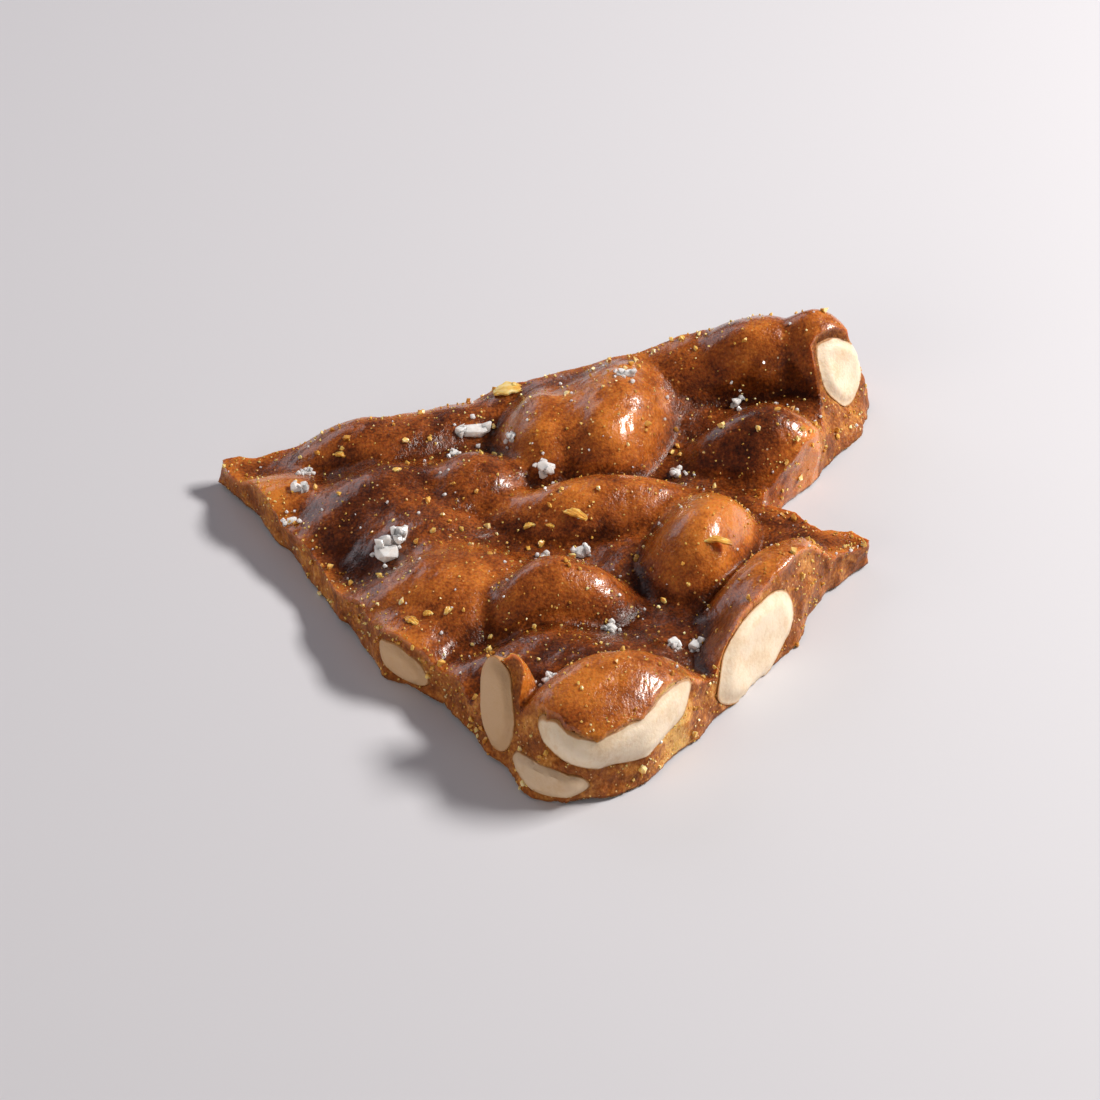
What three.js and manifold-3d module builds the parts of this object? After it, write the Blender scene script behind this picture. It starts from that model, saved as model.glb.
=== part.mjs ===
// A broken piece of nut brittle: one poured slab of glossy toffee, lumpy over the
// nuts in it, with rough fracture walls that cut through some of the nuts.
// Millimetres, +Z up. The piece lies on its flat underside at z = 0, with the
// origin below the middle of its outline.

import * as THREE from 'three';
import { mergeVertices } from 'three/addons/utils/BufferGeometryUtils.js';
import Module from 'manifold-3d';

// ---------------------------------------------------------------- dimensions

const slab = {
  thickness: 3.7,        // toffee between the nuts
  skin: 0.9,             // toffee over a nut
  blend: 3,              // how softly a coated nut runs into the toffee round it
  skirt: 0.4,            // how much steeper a lump's foot is than its crest
  warp: 1.1,             // how far the lumps stray from true ovals
  warpLength: 7,
  swell: 0.45,           // slow waviness of the poured top
  swellLength: 9,
  ripple: 0.22,          // smaller unevenness on it
  rippleLength: 4,
  topCell: 1.4,          // grid of the top face
  underCell: 3.5,        // grid of the underside
  underLift: 0.5,        // how far the underside curls off the pan at the rim
  underRim: 4,           // width of that curl
  reach: 39,             // half-width of the blocks that the faces are made on
  blockDepth: 40,
};

const fracture = {
  step: 1.45,            // spacing of points along the break
  layer: 1.5,            // spacing of points up the break
  height: 12,
  below: 2,
  leanTop: 10,           // above this a leaning wall goes straight up
  cornerPoints: 4,       // neighbours each way that share a corner's direction
  coarse: 0.35,          // depth and length of the large and the fine roughness
  coarseLength: 3.2,
  fine: 0.16,
  fineLength: 1.3,
};

const nutGap = 0.3;      // clearance between a cut nut and its pocket
const nutRings = 10;
const nutSides = 16;

const grainSink = 0.3;   // share of a grain's height that is sunk in the toffee

// Corners of the break, anticlockwise from the left tip. lean is how far the wall
// that starts at a corner falls inward for each millimetre of height.
const corners = [
  { x: -33.0, y: 15.4, lean: 0 },
  { x: -29.8, y: 11.1, lean: 0 },
  { x: -22.2, y: -2.0, lean: 0 },
  { x: -15.6, y: -15.1, lean: 0.1 },
  { x: -9.7, y: -19.7, lean: 0.2 },
  { x: -6.0, y: -26.8, lean: 0.35 },
  { x: -0.9, y: -33.2, lean: 0.35 },
  { x: 2.0, y: -34.5, lean: 0.3 },
  { x: 5.2, y: -33.7, lean: 0.15 },
  { x: 9.6, y: -31.1, lean: 0.15 },
  { x: 14.6, y: -24.8, lean: 0.2 },
  { x: 24.5, y: -10.4, lean: 0.25 },
  { x: 27.6, y: -2.9, lean: 0.1 },
  { x: 32.1, y: 1.9, lean: 0 },
  { x: 30.4, y: 3.4, lean: 0.1 },
  { x: 27.4, y: 3.2, lean: 0.1 },
  { x: 25.0, y: 5.9, lean: 0.1 },
  { x: 21.8, y: 6.8, lean: 0.1 },
  { x: 22.8, y: 10.2, lean: 0 },
  { x: 27.3, y: 15.2, lean: 0 },
  { x: 31.0, y: 20.8, lean: 0.6 },
  { x: 33.2, y: 26.0, lean: 0.55 },
  { x: 33.8, y: 29.6, lean: 0.3 },
  { x: 29.6, y: 33.9, lean: 0.2 },
  { x: 21.0, y: 32.6, lean: 0.1 },
  { x: 13.8, y: 31.0, lean: 0.1 },
  { x: 3.9, y: 26.9, lean: 0.1 },
  { x: -4.9, y: 25.4, lean: 0.1 },
  { x: -15.5, y: 20.6, lean: 0.1 },
  { x: -27.0, y: 17.8, lean: 0.1 },
];

// Lumps of toffee over whole nuts. top is the crest's height, long, wide and high
// are half-sizes, turn is the long axis from +X, tilt lifts its far end and roll
// leans it over, in degrees.
const lumps = [
  { name: 'back big left', x: 0.4, y: 16.6, top: 8.4, long: 7.0, wide: 5.2, high: 5, turn: 80 },
  { name: 'back big right', x: 7.0, y: 18.6, top: 9.2, long: 8.6, wide: 6.0, high: 5, turn: 70 },
  { name: 'back ridge', x: 22.4, y: 28.9, top: 11.0, long: 7.6, wide: 5.0, high: 6.2, turn: 14 },
  { name: 'dark', x: 21.8, y: 15.4, top: 8.6, long: 7.4, wide: 5.2, high: 6.4, turn: 10 },
  { name: 'notch', x: 15.0, y: -0.6, top: 9.3, long: 7.6, wide: 4.8, high: 5, turn: 62 },
  { name: 'right ridge', x: 21.6, y: -7.2, top: 8.6, long: 8.0, wide: 4.2, high: 4.5, turn: 46 },
  { name: 'middle', x: 0.9, y: -10.0, top: 9.1, long: 7.4, wide: 5.0, high: 5, turn: 12 },
  { name: 'left front', x: -9.8, y: -7.4, top: 7.1, long: 7.6, wide: 5.6, high: 2.5, turn: 28 },
  { name: 'small left', x: -7.2, y: 9.6, top: 6.6, long: 5.0, wide: 4.2, high: 2.1, turn: 0 },
  { name: 'left ridge', x: -17.2, y: 7.4, top: 6.0, long: 7.4, wide: 4.2, high: 1.6, turn: 38 },
  { name: 'broad', x: -12.4, y: 1.4, top: 5.8, long: 5.8, wide: 4.6, high: 1.4, turn: 20 },
  { name: 'tip', x: -27.4, y: 8.9, top: 4.4, long: 4.8, wide: 3.8, high: 1.6, turn: 10 },
  { name: 'back rim', x: -13.6, y: 18.8, top: 4.9, long: 10, wide: 3, high: 1.4, turn: 20 },
  { name: 'band', x: 5.6, y: 6.0, top: 7.0, long: 9, wide: 3.6, high: 2.4, turn: 8 },
  { name: 'shelf', x: 1.8, y: -19.0, top: 6.4, long: 8, wide: 4.4, high: 1.6, turn: 10 },
];

// Broad swells and dips of the poured toffee between the lumps.
const swells = [
  { x: -29, y: 10, rise: -1.5, radius: 8 },
  { x: -18.7, y: -3.5, rise: -1.3, radius: 5 },
  { x: 10, y: 28, rise: 3.0, radius: 7 },
  { x: -2, y: 24, rise: 1.5, radius: 5 },
  { x: 27, y: 26, rise: 1.6, radius: 8 },
  { x: 31, y: 2, rise: -1.0, radius: 3 },
  { x: 28.5, y: 14, rise: -2.4, radius: 4 },
  { x: 9, y: -15, rise: 0.4, radius: 6 },
  { x: -13, y: 2, rise: 0.8, radius: 10 },
];

// Nuts that the break cuts through. The toffee rises over each by its skin.
const cutNuts = [
  { name: 'nut_right', x: 21.2, y: -15.6, z: 3.8, long: 7.2, wide: 4.6, high: 3.9,
    turn: 55, tilt: 9, roll: 0, colour: 0xecd2a6 },
  { name: 'nut_corner', x: 6.6, y: -28.2, z: 6.1, long: 8.2, wide: 5.4, high: 2.2,
    turn: 32, tilt: 0, roll: 24, colour: 0xe6cba0 },
  { name: 'nut_upright', x: -4.7, y: -25.8, z: 5.4, long: 2.4, wide: 3.5, high: 4.5,
    turn: -58, tilt: 30, roll: 0, colour: 0xd8b98c },
  { name: 'nut_front_low', x: 0.5, y: -31.8, z: 1.9, long: 4.5, wide: 3.2, high: 1.4,
    turn: -50, tilt: 0, roll: 0, colour: 0xdcc096 },
  { name: 'nut_left', x: -12.9, y: -15.2, z: 2.3, long: 3.6, wide: 3.2, high: 1.8,
    turn: -40, tilt: -8, roll: 0, colour: 0xc9ab80 },
  { name: 'nut_top_right', x: 29.4, y: 27.2, z: 6.3, long: 5.2, wide: 3.4, high: 2.8,
    turn: 145, tilt: 36, roll: 0, colour: 0xf0d9b0 },
  { name: 'nut_back_left', x: -17.6, y: 17.6, z: 2.4, long: 5.5, wide: 4, high: 1.6,
    turn: 22, tilt: 0, roll: 0, colour: 0xdcc096 },
  { name: 'nut_back_middle', x: 4.6, y: 24.0, z: 3.6, long: 6.5, wide: 4.5, high: 2.6,
    turn: 14, tilt: 5, roll: 0, colour: 0xe6cba0 },
  { name: 'nut_back_right', x: 17.4, y: 29.4, z: 4.4, long: 6.2, wide: 4.6, high: 3.0,
    turn: 15, tilt: -3, roll: 0, colour: 0xdcc096 },
];

// Salt crystals and crisp golden chips on the toffee, full sizes.
const grains = [
  { x: -7.2, y: 18.2, long: 3.2, wide: 1.6, high: 0.8, turn: 5 },
  { x: -15.4, y: -2.6, long: 2.8, wide: 2.3, high: 1.7, turn: 30 },
  { x: -14.2, y: -0.7, long: 2.1, wide: 1.8, high: 1.5, turn: 70 },
  { x: 0.2, y: 10.9, long: 1.9, wide: 1.7, high: 1.3, turn: 60 },
  { x: -24.6, y: 8.6, long: 1.8, wide: 1.3, high: 1.0, turn: 10 },
  { x: -24.0, y: 12.5, long: 1.3, wide: 1.0, high: 0.8, turn: 0 },
  { x: -25.2, y: 4.7, long: 1.6, wide: 0.9, high: 0.7, turn: 20 },
  { x: 3.6, y: -0.6, long: 1.6, wide: 1.4, high: 1.2, turn: 40 },
  { x: 0.0, y: -1.3, long: 1.4, wide: 1.2, high: 1.0, turn: 80 },
  { x: 19.5, y: 23.3, long: 1.4, wide: 1.2, high: 1.0, turn: 25 },
  { x: -9.2, y: 15.0, long: 1.3, wide: 0.9, high: 0.7, turn: 0 },
  { x: -3.3, y: 15.1, long: 1.0, wide: 1.0, high: 0.8, turn: 45 },
  { x: 6.4, y: -13.6, long: 1.3, wide: 1.2, high: 1.0, turn: 50 },
  { x: 0.2, y: -24.8, long: 1.3, wide: 1.1, high: 0.9, turn: 15 },
  { x: 12.3, y: -15.6, long: 1.3, wide: 1.1, high: 1.0, turn: 35 },
  { x: 14.4, y: -15.5, long: 1.6, wide: 1.3, high: 1.1, turn: 65 },
  { x: 8.3, y: 21.8, long: 1.9, wide: 1.1, high: 0.8, turn: 10 },
  { x: 13.2, y: 12.3, long: 1.5, wide: 1.0, high: 0.9, turn: 85 },
  { x: -3.6, y: 24.0, long: 3.4, wide: 1.7, high: 0.9, turn: 12 },
  { x: 16.4, y: -4.6, long: 3.6, wide: 0.9, high: 0.8, turn: -8 },
  { x: 2.8, y: 3.1, long: 3.0, wide: 1.0, high: 0.8, turn: -30 },
];

const toffee = { colour: 0x8a4416, roughness: 0.25 };
const nutRoughness = 0.6;

// Which draw of the noise each uneven thing takes.
const draw = {
  wallX: 1, wallY: 2, fineX: 3, fineY: 4, swell: 5, curl: 6, ripple: 7, warpX: 8, warpY: 9,
};
const hashWeights = { i: 127.1, j: 311.7, k: 74.7, draw: 53.3 };
const hashScale = 43758.5453;
const mergeTolerance = 1e-5;

// ------------------------------------------------------------------- helpers

const wasm = await Module();
wasm.setup();

const radians = THREE.MathUtils.degToRad;

function solidOf(geometry) {
  geometry.deleteAttribute('normal');
  geometry.deleteAttribute('uv');
  const merged = mergeVertices(geometry, mergeTolerance);
  return new wasm.Manifold(new wasm.Mesh({
    numProp: 3,
    vertProperties: Float32Array.from(merged.attributes.position.array),
    triVerts: Uint32Array.from(merged.index.array),
  }));
}

function geometryOf(solid) {
  const mesh = solid.getMesh();
  const geometry = new THREE.BufferGeometry();
  geometry.setAttribute('position', new THREE.BufferAttribute(mesh.vertProperties, 3));
  geometry.setIndex(new THREE.BufferAttribute(mesh.triVerts, 1));
  const faceted = geometry.toNonIndexed();
  faceted.computeVertexNormals();
  return faceted;
}

// A fixed pseudo-random number from 0 to 1 for each point of a whole-number grid.
function hash(i, j, k, which) {
  const at = hashWeights;
  const value = Math.sin(i * at.i + j * at.j + k * at.k + which * at.draw) * hashScale;
  return value - Math.floor(value);
}

// Smooth noise from -1 to 1 over a grid of the given spacing.
function noise(x, y, z, spacing, which) {
  const gx = x / spacing;
  const gy = y / spacing;
  const gz = z / spacing;
  const [i, j, k] = [Math.floor(gx), Math.floor(gy), Math.floor(gz)];
  const [u, v, w] = [gx - i, gy - j, gz - k].map((t) => t * t * (3 - 2 * t));
  let sum = 0;
  for (const di of [0, 1]) {
    for (const dj of [0, 1]) {
      for (const dk of [0, 1]) {
        const weight = (di ? u : 1 - u) * (dj ? v : 1 - v) * (dk ? w : 1 - w);
        sum += weight * hash(i + di, j + dj, k + dk, which);
      }
    }
  }
  return 2 * sum - 1;
}

function smoothMax(a, b, blend) {
  const overlap = Math.max(blend - Math.abs(a - b), 0) / blend;
  return Math.max(a, b) + overlap * overlap * blend / 4;
}

// ---------------------------------------------------------------- the outline

// Points along the break, with each wall's inward direction and lean.
function breakLine() {
  const line = [];
  corners.forEach((from, index) => {
    const to = corners[(index + 1) % corners.length];
    const [dx, dy] = [to.x - from.x, to.y - from.y];
    const length = Math.hypot(dx, dy);
    const count = Math.max(1, Math.round(length / fracture.step));
    for (let n = 0; n < count; n += 1) {
      const t = n / count;
      line.push({
        x: from.x + dx * t,
        y: from.y + dy * t,
        inX: -dy / length,
        inY: dx / length,
        lean: from.lean + (to.lean - from.lean) * t,
      });
    }
  });
  return line.map((point, index) => softened(line, point, index));
}

// Turns a point's inward direction to the mean of its neighbours'.
function softened(line, point, index) {
  const near = [];
  for (let n = -fracture.cornerPoints; n <= fracture.cornerPoints; n += 1) {
    near.push(line[(index + n + line.length) % line.length]);
  }
  const inX = near.reduce((sum, p) => sum + p.inX, 0);
  const inY = near.reduce((sum, p) => sum + p.inY, 0);
  const length = Math.hypot(inX, inY);
  return { ...point, inX: inX / length, inY: inY / length };
}

// The whole break as one rough-sided prism, taller than the slab.
function brokenPrism(line) {
  const layers = Math.round((fracture.height + fracture.below) / fracture.layer);
  const positions = [];
  for (let layer = 0; layer <= layers; layer += 1) {
    const z = layer * fracture.layer - fracture.below;
    for (const point of line) {
      const inward = point.lean * Math.min(z, fracture.leanTop);
      const x = point.x + point.inX * inward;
      const y = point.y + point.inY * inward;
      const roughX = fracture.coarse * noise(x, y, z, fracture.coarseLength, draw.wallX)
        + fracture.fine * noise(x, y, z, fracture.fineLength, draw.fineX);
      const roughY = fracture.coarse * noise(x, y, z, fracture.coarseLength, draw.wallY)
        + fracture.fine * noise(x, y, z, fracture.fineLength, draw.fineY);
      positions.push(x + roughX, y + roughY, z);
    }
  }
  const count = line.length;
  const index = [];
  for (let layer = 0; layer < layers; layer += 1) {
    for (let n = 0; n < count; n += 1) {
      const low = layer * count + n;
      const lowNext = layer * count + (n + 1) % count;
      index.push(low, lowNext, lowNext + count, low, lowNext + count, low + count);
    }
  }
  for (const layer of [0, layers]) {
    const start = layer * count;
    const ring = line.map((point, n) => {
      const at = 3 * (start + n);
      return new THREE.Vector2(positions[at], positions[at + 1]);
    });
    for (const [a, b, c] of THREE.ShapeUtils.triangulateShape(ring, [])) {
      if (layer === 0) index.push(start + a, start + c, start + b);
      else index.push(start + a, start + b, start + c);
    }
  }
  const geometry = new THREE.BufferGeometry();
  geometry.setAttribute('position', new THREE.Float32BufferAttribute(positions, 3));
  geometry.setIndex(index);
  return geometry;
}

function distanceToBreak(x, y) {
  let nearest = Infinity;
  corners.forEach((from, index) => {
    const to = corners[(index + 1) % corners.length];
    const [dx, dy] = [to.x - from.x, to.y - from.y];
    const along = ((x - from.x) * dx + (y - from.y) * dy) / (dx * dx + dy * dy);
    const t = THREE.MathUtils.clamp(along, 0, 1);
    nearest = Math.min(nearest, Math.hypot(x - from.x - dx * t, y - from.y - dy * t));
  });
  return nearest;
}

// -------------------------------------------------------------- the toffee slab

// 1 at a crest, 0 at the foot and ever lower beyond it.
function crown(radius) {
  const square = radius * radius;
  return 1 - square * (1 - slab.skirt) - square * square * slab.skirt;
}

function lumpHeight(lump, x, y) {
  const angle = radians(lump.turn);
  const stray = lump.covers ? 0 : slab.warp;
  const dx = x - lump.x + stray * noise(x, y, 0, slab.warpLength, draw.warpX);
  const dy = y - lump.y + stray * noise(x, y, 0, slab.warpLength, draw.warpY);
  const along = dx * Math.cos(angle) + dy * Math.sin(angle);
  const across = dy * Math.cos(angle) - dx * Math.sin(angle);
  const tilt = radians(lump.tilt ?? 0);
  const roll = radians(lump.roll ?? 0);
  const reachLong = lump.long * Math.cos(tilt);
  const reachWide = lump.wide * Math.cos(roll);
  const radius = Math.hypot(along / reachLong, across / reachWide);
  const leaning = THREE.MathUtils.clamp(along, -lump.long, lump.long) * Math.tan(tilt)
    + THREE.MathUtils.clamp(across, -lump.wide, lump.wide) * Math.tan(roll);
  return lump.top + leaning - lump.high * (1 - crown(radius));
}

// The lump of toffee that covers a cut nut.
function coatOf(nut) {
  const lift = (nut.high + slab.skin) / Math.cos(radians(nut.tilt)) / Math.cos(radians(nut.roll));
  return {
    ...nut,
    covers: nut.name,
    top: nut.z + lift,
    long: nut.long + slab.skin,
    wide: nut.wide + slab.skin,
    high: lift,
  };
}

function toffeeTop(x, y) {
  let height = slab.thickness + slab.swell * noise(x, y, 0, slab.swellLength, draw.swell);
  const ripple = slab.ripple * noise(x, y, 0, slab.rippleLength, draw.ripple);
  for (const swell of swells) {
    const away = Math.hypot(x - swell.x, y - swell.y) / swell.radius;
    height += swell.rise * Math.exp(-away * away);
  }
  for (const lump of coats) height = smoothMax(height, lumpHeight(lump, x, y), slab.blend);
  return height + ripple;
}

function toffeeUnderside(x, y) {
  const inner = THREE.MathUtils.smoothstep(distanceToBreak(x, y), 0, slab.underRim);
  const curl = 0.5 + 0.5 * noise(x, y, 0, slab.underRim, draw.curl);
  return slab.underLift * curl * (1 - inner);
}

// A block whose face follows height(x, y) and whose far side lies well beyond it.
function blockWithFace(height, cell, facesUp) {
  const size = 2 * slab.reach;
  const cells = Math.round(size / cell);
  const geometry = new THREE.BoxGeometry(size, size, slab.blockDepth, cells, cells, 1);
  const position = geometry.attributes.position;
  for (let n = 0; n < position.count; n += 1) {
    const [x, y, z] = [position.getX(n), position.getY(n), position.getZ(n)];
    if ((z > 0) === facesUp) position.setZ(n, height(x, y));
    else position.setZ(n, facesUp ? -slab.blockDepth / 2 : slab.blockDepth);
  }
  return geometry;
}

// ------------------------------------------------------------------- the nuts

function kernel(nut, grow) {
  const geometry = new THREE.SphereGeometry(1, nutSides, nutRings);
  geometry.rotateZ(Math.PI / 2);
  geometry.scale(nut.long + grow, nut.wide + grow, nut.high + grow);
  const turn = new THREE.Euler(radians(nut.roll), radians(-nut.tilt), radians(nut.turn), 'ZYX');
  geometry.applyMatrix4(new THREE.Matrix4().makeRotationFromEuler(turn));
  geometry.translate(nut.x, nut.y, nut.z);
  return geometry;
}

// ------------------------------------------------------------- salt and chips

function grain(item) {
  const geometry = new THREE.IcosahedronGeometry(0.5, 0);
  geometry.scale(item.long, item.wide, item.high);
  geometry.rotateZ(radians(item.turn));
  const lift = item.high * (0.5 - grainSink);
  geometry.translate(item.x, item.y, toffeeTop(item.x, item.y) + lift);
  return geometry;
}

// ---------------------------------------------------------------- the assembly

const coats = [...lumps, ...cutNuts.map(coatOf)];
const broken = solidOf(brokenPrism(breakLine()));
const overUnderside = solidOf(blockWithFace(toffeeUnderside, slab.underCell, false));
const underTop = solidOf(blockWithFace(toffeeTop, slab.topCell, true));
const core = broken.intersect(overUnderside);

let brittle = core.intersect(underTop);
for (const nut of cutNuts) brittle = brittle.subtract(solidOf(kernel(nut, nutGap)));
for (const item of grains) brittle = brittle.add(solidOf(grain(item)));

const group = new THREE.Group();

function addPiece(name, solid, colour, roughness) {
  const material = new THREE.MeshStandardMaterial({ color: colour, roughness, metalness: 0 });
  const mesh = new THREE.Mesh(geometryOf(solid), material);
  mesh.name = name;
  group.add(mesh);
}

addPiece('brittle_slab', brittle, toffee.colour, toffee.roughness);
for (const nut of cutNuts) {
  addPiece(nut.name, solidOf(kernel(nut, 0)).intersect(core), nut.colour, nutRoughness);
}

export default group;
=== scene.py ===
import math

import bmesh
import bpy
import numpy as np
from mathutils import Euler, Matrix, Vector
from mathutils.bvhtree import BVHTree


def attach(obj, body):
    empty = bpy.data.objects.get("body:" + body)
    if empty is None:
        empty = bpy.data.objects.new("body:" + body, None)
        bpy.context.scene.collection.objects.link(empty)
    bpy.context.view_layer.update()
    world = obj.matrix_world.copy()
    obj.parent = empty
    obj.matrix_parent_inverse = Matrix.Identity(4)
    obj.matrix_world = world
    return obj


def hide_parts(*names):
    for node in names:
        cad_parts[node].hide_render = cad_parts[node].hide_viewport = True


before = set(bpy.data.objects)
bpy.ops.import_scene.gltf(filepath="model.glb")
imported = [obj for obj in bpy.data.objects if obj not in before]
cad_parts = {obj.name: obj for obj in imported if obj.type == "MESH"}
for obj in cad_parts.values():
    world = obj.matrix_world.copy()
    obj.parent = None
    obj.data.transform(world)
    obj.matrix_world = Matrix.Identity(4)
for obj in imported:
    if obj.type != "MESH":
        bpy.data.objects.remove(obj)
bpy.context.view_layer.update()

print("frame loaded:", ", ".join(sorted(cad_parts)))

# Shapes are worked out in millimetres and scaled to metres when they are done.
mm = 0.001

slab = {
    "thickness": 3.7, "skin": 0.9, "blend": 3, "skirt": 0.4,
    "warp": 1.1, "warpLength": 7, "swell": 0.45, "swellLength": 9,
    "ripple": 0.22, "rippleLength": 4,
    "underLift": 0.5, "underRim": 4,
    "reach": 39, "depth": 20,                  # of the blocks that it is cut from
    "topCell": 0.23, "underCell": 0.6,
    "wrinkle": 0.065, "wrinkleLength": 0.95,   # fine creases of the poured skin
    "finer": 0.45, "finerRatio": 2.1, "finerLayer": 9,      # and finer ones on them
    "flow": 52, "flowStretch": 2.4, "flowBend": 5,          # the way that they run
    "pits": 46, "pitSize": (0.35, 0.9), "pitDepth": 0.16,   # burst bubbles
    "pitReach": 30, "pitSeed": 7,
    "pan": 0.05, "panLength": 1.8,             # unevenness of the underside
    "softRim": 0.5, "rimPasses": 2,            # how much the broken edge is rounded
    "rimAngle": 40,
    "weld": 0.015, "sliver": 0.01,             # what counts as one point, or as no face
    "toneRise": (-0.8, 1.8),                   # where a lump's own tone takes over
    "hollowReach": 2.0, "hollowSides": 8,      # how far round a dip is felt
    "paleRim": 2.5,                            # width of the paler rim along the break: its crumbly golden edge, with painted glow of light through the thin toffee
}

fracture = {
    "coarseStep": 1.45, "leanTop": 10, "cornerPoints": 4, "height": 12, "below": 2,
    "coarse": 0.35, "coarseLength": 3.2, "fine": 0.16, "fineLength": 1.3,
    "step": 0.3, "layer": 0.3,
    "grit": 0.11, "gritLength": 0.6,           # sugary grain of the broken walls
    "nutStep": 0.32, "nutProud": 0.06,
    "litLedgeAt": (13.0, -27.5), "litLedgeReach": 4.5,            # where the wall is most golden: its glossy golden crumbs, painted paler as painted light where the ledge faces the key lamp
    "glazed": (25.5, 12.0, 5.5), "glazedEdge": (-1, 0.5),   # where toffee ran over it
    "nutRelief": 0.07, "nutReliefLength": 1.1, "nutGrain": 0.03, "nutGrainLength": 0.45,
}

# Corners of the break, anticlockwise: x, y and how far the wall leans in per mm.
corners = np.array([
    (-33.0, 15.4, 0), (-29.8, 11.1, 0), (-22.2, -2.0, 0), (-15.6, -15.1, 0.1),
    (-9.7, -19.7, 0.2), (-6.0, -26.8, 0.35), (-0.9, -33.2, 0.35), (2.0, -34.5, 0.3),
    (5.2, -33.7, 0.15), (9.6, -31.1, 0.15), (14.6, -24.8, 0.2), (24.5, -10.4, 0.25),
    (27.6, -2.9, 0.1), (32.1, 1.9, 0), (30.4, 3.4, 0.1), (27.4, 3.2, 0.1),
    (25.0, 5.9, 0.1), (21.8, 6.8, 0.1), (22.8, 10.2, 0), (27.3, 15.2, 0),
    (31.0, 20.8, 0.6), (33.2, 26.0, 0.55), (33.8, 29.6, 0.3), (29.6, 33.9, 0.2),
    (21.0, 32.6, 0.1), (13.8, 31.0, 0.1), (3.9, 26.9, 0.1), (-4.9, 25.4, 0.1),
    (-15.5, 20.6, 0.1), (-27.0, 17.8, 0.1),
])

# Lumps over whole nuts: x, y, crest height, half length, width and height, turn in
# degrees, and tone from 0 dark brown to 1 bright amber.
lumps = [
    (0.4, 16.6, 8.4, 7.0, 5.2, 5, 80, 0.68),
    (7.0, 18.6, 9.2, 8.6, 6.0, 5, 70, 0.70),
    (22.4, 28.9, 11.0, 7.6, 5.0, 6.2, 14, 0.58),
    (21.8, 15.4, 8.6, 7.4, 5.2, 6.4, 10, 0.28),
    (15.0, -0.6, 9.3, 7.6, 4.8, 5, 62, 0.8),
    (21.6, -7.2, 8.6, 8.0, 4.2, 4.5, 46, 0.74),
    (0.9, -10.0, 9.1, 7.4, 5.0, 5, 12, 0.55),
    (-9.8, -7.4, 7.1, 7.6, 5.6, 2.5, 28, 0.58),
    (-7.2, 9.6, 6.6, 5.0, 4.2, 2.1, 0, 0.42),
    (-17.2, 7.4, 6.0, 7.4, 4.2, 1.6, 38, 0.34),
    (-12.4, 1.4, 5.8, 5.8, 4.6, 1.4, 20, 0.42),
    (-27.4, 8.9, 4.4, 4.8, 3.8, 1.6, 10, 0.85),
    (-13.6, 18.8, 4.9, 10, 3, 1.4, 20, 0.42),
    (5.6, 6.0, 7.0, 9, 3.6, 2.4, 8, 0.66),
    (1.8, -19.0, 6.4, 8, 4.4, 1.6, 10, 0.3),
]

# Broad swells and dips of the poured toffee: x, y, rise, radius.
swells = [
    (-29, 10, -1.5, 8), (-18.7, -3.5, -1.3, 5), (10, 28, 3.0, 7), (-2, 24, 1.5, 5),
    (27, 26, 1.6, 8), (31, 2, -1.0, 3), (28.5, 14, -2.4, 4), (9, -15, 0.4, 6), (-13, 2, 0.8, 10),
]

# Nuts that the break cuts: CAD node, centre, half sizes, turn, tilt, roll, tone of the
# toffee over it and how brown its flesh is, partly toasted and partly painted shade on
# the nuts turned from the key lamp.
cutNuts = [
    ("nut_right", 21.2, -15.6, 3.8, 7.2, 4.6, 3.9, 55, 9, 0, 0.7, 0.0),
    ("nut_corner", 6.6, -28.2, 6.1, 8.2, 5.4, 2.2, 32, 0, 24, 0.6, 0.0),
    ("nut_upright", -4.7, -25.8, 5.4, 2.4, 3.5, 4.5, -58, 30, 0, 0.9, 0.85),
    ("nut_front_low", 0.5, -31.8, 1.9, 4.5, 3.2, 1.4, -50, 0, 0, 0.6, 0.5),
    ("nut_left", -12.9, -15.2, 2.3, 3.6, 3.2, 1.8, -40, -8, 0, 0.5, 0.85),
    ("nut_top_right", 29.4, 27.2, 6.3, 5.2, 3.4, 2.8, 145, 36, 0, 0.6, 0.0),
    ("nut_back_left", -17.6, 17.6, 2.4, 5.5, 4, 1.6, 22, 0, 0, 0.45, 0.4),
    ("nut_back_middle", 4.6, 24.0, 3.6, 6.5, 4.5, 2.6, 14, 5, 0, 0.5, 0.2),
    ("nut_back_right", 17.4, 29.4, 4.4, 6.2, 4.6, 3.0, 15, -3, 0, 0.5, 0.3),
]

# Painted light and shade on the toffee: darker as painted shadow in the valleys that the lumps shade
# and as painted shade on slopes turned from the key lamp, more golden as painted light and glow on
# lit sides: x, y, radius, change of tone.
paintedShadeAndLight = [
    (-19, -1, 6, -0.22), (11, -11, 6, -0.2), (22, 22, 6, -0.15),
    (4.0, -28.3, 2.4, 0.5), (-28.5, 10, 5, 0.25), (18, 12, 5, -0.1),
    (26.5, 16.5, 3, 0.45), (17.5, 3.5, 3, 0.3), (2, 12.5, 3, -0.15), (-3.4, -24.2, 2, 0.3),
]
baseTone = 0.36                                # toffee between the nuts

draw = {"wallX": 1, "wallY": 2, "fineX": 3, "fineY": 4, "swell": 5, "curl": 6,
        "ripple": 7, "warpX": 8, "warpY": 9, "gritX": 11, "gritY": 12, "wrinkle": 13,
        "pan": 14, "nutShape": 15, "creaseBend": 16, "nutGrain": 17}
hashWeights = (127.1, 311.7, 74.7, 53.3)
hashScale = 43758.5453


def smoothStep(value, low, high):
    t = np.clip((value - low) / (high - low), 0, 1)
    return t * t * (3 - 2 * t)


def hashOf(i, j, k, which):
    wi, wj, wk, wDraw = hashWeights
    value = np.sin(i * wi + j * wj + k * wk + which * wDraw) * hashScale
    return value - np.floor(value)


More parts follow.
